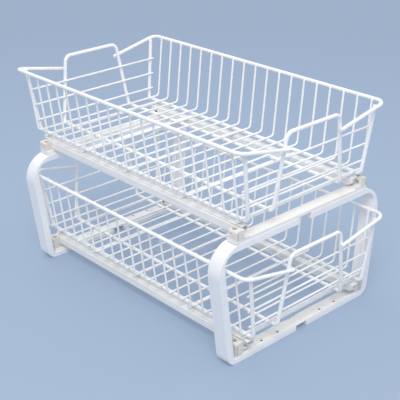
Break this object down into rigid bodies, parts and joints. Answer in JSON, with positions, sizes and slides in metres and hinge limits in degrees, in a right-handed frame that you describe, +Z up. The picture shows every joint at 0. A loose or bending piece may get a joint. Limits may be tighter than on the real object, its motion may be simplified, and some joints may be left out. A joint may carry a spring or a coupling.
{
  "type": "two-tier sliding basket organizer",
  "caption": "Two welded-wire baskets that pull out on roller slides, one above the other, in a frame of splayed moulded hoops joined by folded cross bars.",
  "frame": {"origin": "middle of the whole at rest, on the surface that the hoops stand on", "axes": "+Z up; the baskets pull out towards -Y; +X is to the right when facing along +Y"},
  "size_m": [0.286, 0.4582, 0.2835],
  "materials": {
    "coated_wire": "glossy white epoxy coat over steel wire",
    "slide_steel": "satin white powder coat over rolled steel",
    "folded_steel": "satin white powder coat over folded steel",
    "moulding": "smooth white moulded plastic",
    "nylon": "natural off-white nylon",
    "fasteners": "zinc-plated steel"
  },
  "bodies": {
    "frame": {"front_side_left": "moulding", "front_side_right": "moulding", "front_foot_bar": "folded_steel", "front_top_bar": "folded_steel", "rear_side_left": "moulding", "rear_side_right": "moulding", "rear_foot_bar": "folded_steel", "rear_top_bar": "folded_steel", "upper_rail_left": "slide_steel", "upper_bracket_front_left": "nylon", "upper_bracket_rear_left": "nylon", "upper_rail_right": "slide_steel", "upper_bracket_front_right": "nylon", "upper_bracket_rear_right": "nylon", "lower_rail_left": "slide_steel", "lower_bracket_front_left": "nylon", "lower_bracket_rear_left": "nylon", "lower_rail_right": "slide_steel", "lower_bracket_front_right": "nylon", "lower_bracket_rear_right": "nylon", "bar_screws": "fasteners", "bracket_screws": "fasteners", "rail_rivets": "fasteners", "front_axles": "fasteners"},
    "upper_basket": {"upper_rim_left": "coated_wire", "upper_floor_wire_left": "coated_wire", "upper_runner_left": "slide_steel", "upper_rim_right": "coated_wire", "upper_floor_wire_right": "coated_wire", "upper_runner_right": "slide_steel", "upper_handle_loop": "coated_wire", "upper_grid_wires": "coated_wire", "upper_end_wires_front": "coated_wire", "upper_end_wires_rear": "coated_wire", "upper_cross_wires": "coated_wire", "upper_rear_axles": "fasteners"},
    "upper_rear_roller_left_body": {"upper_rear_roller_left": "nylon"},
    "upper_front_roller_left_body": {"upper_front_roller_left": "nylon"},
    "upper_rear_roller_right_body": {"upper_rear_roller_right": "nylon"},
    "upper_front_roller_right_body": {"upper_front_roller_right": "nylon"},
    "lower_basket": {"lower_rim_left": "coated_wire", "lower_floor_wire_left": "coated_wire", "lower_runner_left": "slide_steel", "lower_rim_right": "coated_wire", "lower_floor_wire_right": "coated_wire", "lower_runner_right": "slide_steel", "lower_handle_loop": "coated_wire", "lower_grid_wires": "coated_wire", "lower_end_wires_front": "coated_wire", "lower_end_wires_rear": "coated_wire", "lower_cross_wires": "coated_wire", "lower_rear_axles": "fasteners"},
    "lower_rear_roller_left_body": {"lower_rear_roller_left": "nylon"},
    "lower_front_roller_left_body": {"lower_front_roller_left": "nylon"},
    "lower_rear_roller_right_body": {"lower_rear_roller_right": "nylon"},
    "lower_front_roller_right_body": {"lower_front_roller_right": "nylon"}
  },
  "joints": [
    {"name": "upper_basket_slide", "type": "slide", "parent": "frame", "child": "upper_basket", "axis": [0, -1, 0], "range_m": [0, 0.29]},
    {"name": "upper_front_roller_left_spin", "type": "hinge", "parent": "frame", "child": "upper_front_roller_left_body", "pos_m": [-0.09985, -0.1908, 0.172], "axis": [1, 0, 0], "continuous": true},
    {"name": "upper_rear_roller_left_spin", "type": "hinge", "parent": "upper_basket", "child": "upper_rear_roller_left_body", "pos_m": [-0.09875, 0.1905, 0.1712], "axis": [1, 0, 0], "continuous": true},
    {"name": "upper_front_roller_right_spin", "type": "hinge", "parent": "frame", "child": "upper_front_roller_right_body", "pos_m": [0.09985, -0.1908, 0.172], "axis": [1, 0, 0], "continuous": true},
    {"name": "upper_rear_roller_right_spin", "type": "hinge", "parent": "upper_basket", "child": "upper_rear_roller_right_body", "pos_m": [0.09875, 0.1905, 0.1712], "axis": [1, 0, 0], "continuous": true},
    {"name": "lower_basket_slide", "type": "slide", "parent": "frame", "child": "lower_basket", "axis": [0, -1, 0], "range_m": [-0.011, 0.279]},
    {"name": "lower_front_roller_left_spin", "type": "hinge", "parent": "frame", "child": "lower_front_roller_left_body", "pos_m": [-0.09985, -0.1908, 0.0214], "axis": [1, 0, 0], "continuous": true},
    {"name": "lower_rear_roller_left_spin", "type": "hinge", "parent": "lower_basket", "child": "lower_rear_roller_left_body", "pos_m": [-0.09875, 0.1795, 0.0206], "axis": [1, 0, 0], "continuous": true},
    {"name": "lower_front_roller_right_spin", "type": "hinge", "parent": "frame", "child": "lower_front_roller_right_body", "pos_m": [0.09985, -0.1908, 0.0214], "axis": [1, 0, 0], "continuous": true},
    {"name": "lower_rear_roller_right_spin", "type": "hinge", "parent": "lower_basket", "child": "lower_rear_roller_right_body", "pos_m": [0.09875, 0.1795, 0.0206], "axis": [1, 0, 0], "continuous": true}
  ],
  "couplings": [
    {"joint": "upper_front_roller_left_spin", "follows": "upper_basket_slide", "rad_per_m": 208.33},
    {"joint": "upper_rear_roller_left_spin", "follows": "upper_basket_slide", "rad_per_m": 238.1},
    {"joint": "upper_front_roller_right_spin", "follows": "upper_basket_slide", "rad_per_m": 208.33},
    {"joint": "upper_rear_roller_right_spin", "follows": "upper_basket_slide", "rad_per_m": 238.1},
    {"joint": "lower_front_roller_left_spin", "follows": "lower_basket_slide", "rad_per_m": 208.33},
    {"joint": "lower_rear_roller_left_spin", "follows": "lower_basket_slide", "rad_per_m": 238.1},
    {"joint": "lower_front_roller_right_spin", "follows": "lower_basket_slide", "rad_per_m": 208.33},
    {"joint": "lower_rear_roller_right_spin", "follows": "lower_basket_slide", "rad_per_m": 238.1}
  ]
}
